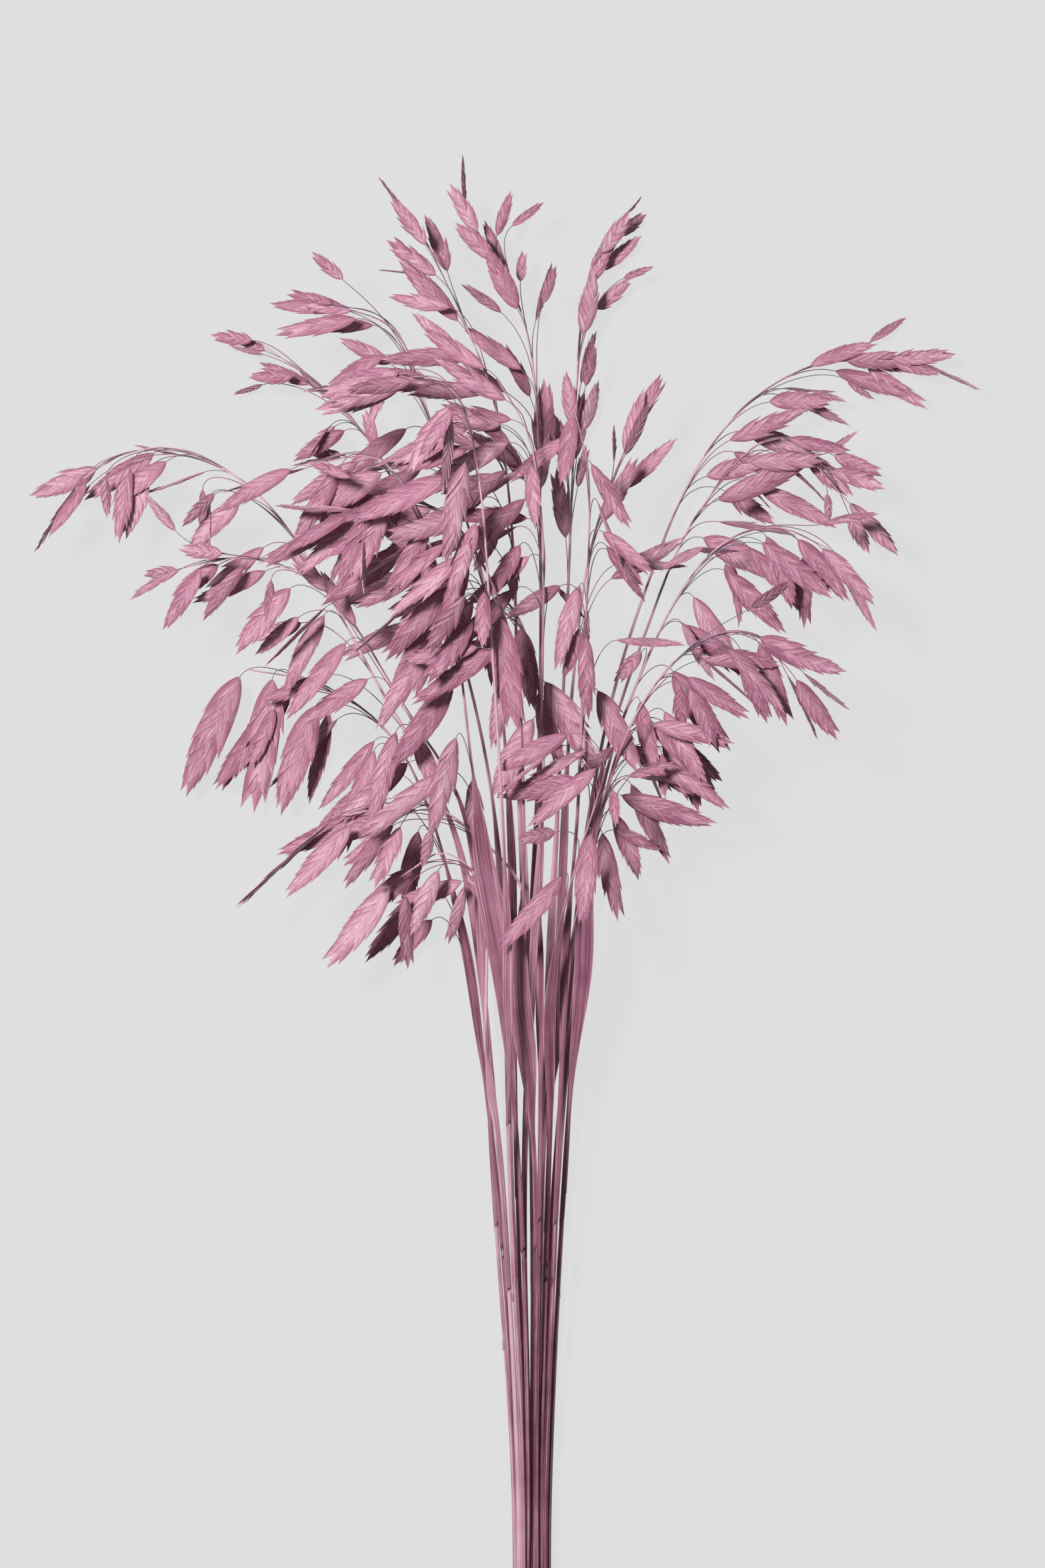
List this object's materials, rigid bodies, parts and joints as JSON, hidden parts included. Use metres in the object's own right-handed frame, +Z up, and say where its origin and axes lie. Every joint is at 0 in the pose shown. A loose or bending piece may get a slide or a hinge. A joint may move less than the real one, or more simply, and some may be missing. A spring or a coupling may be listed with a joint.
{
  "type": "dried wood oats bunch",
  "caption": "bunch of dried, dyed wood oats lying on a surface: straight stems packed at their cut ends, with strap leaves, fanning out into nodding heads of flat toothed spikelets",
  "frame": {"origin": "centre of the bunch's footprint, on the surface that it lies on", "axes": "+Y along the stems from the cut ends to the tips of the heads, +X to the right of that as seen from above, +Z up from the surface"},
  "size_m": [0.3597, 0.5977, 0.119],
  "materials": {
    "dyed_straw": "matte dyed straw with a faint papery sheen"
  },
  "bodies": {
    "root": {"wood_oats_stem_01": "dyed_straw", "wood_oats_stem_02": "dyed_straw", "wood_oats_stem_03": "dyed_straw", "wood_oats_stem_04": "dyed_straw", "wood_oats_stem_05": "dyed_straw", "wood_oats_stem_06": "dyed_straw", "wood_oats_stem_07": "dyed_straw", "wood_oats_stem_08": "dyed_straw", "wood_oats_stem_09": "dyed_straw", "wood_oats_stem_10": "dyed_straw", "wood_oats_stem_11": "dyed_straw", "wood_oats_stem_12": "dyed_straw", "wood_oats_stem_13": "dyed_straw", "wood_oats_stem_14": "dyed_straw", "wood_oats_stem_15": "dyed_straw", "wood_oats_stem_16": "dyed_straw", "wood_oats_stem_17": "dyed_straw", "wood_oats_stem_18": "dyed_straw", "wood_oats_stem_19": "dyed_straw", "wood_oats_stem_20": "dyed_straw", "wood_oats_stem_21": "dyed_straw", "wood_oats_stem_22": "dyed_straw", "wood_oats_stem_23": "dyed_straw"}
  },
  "joints": []
}
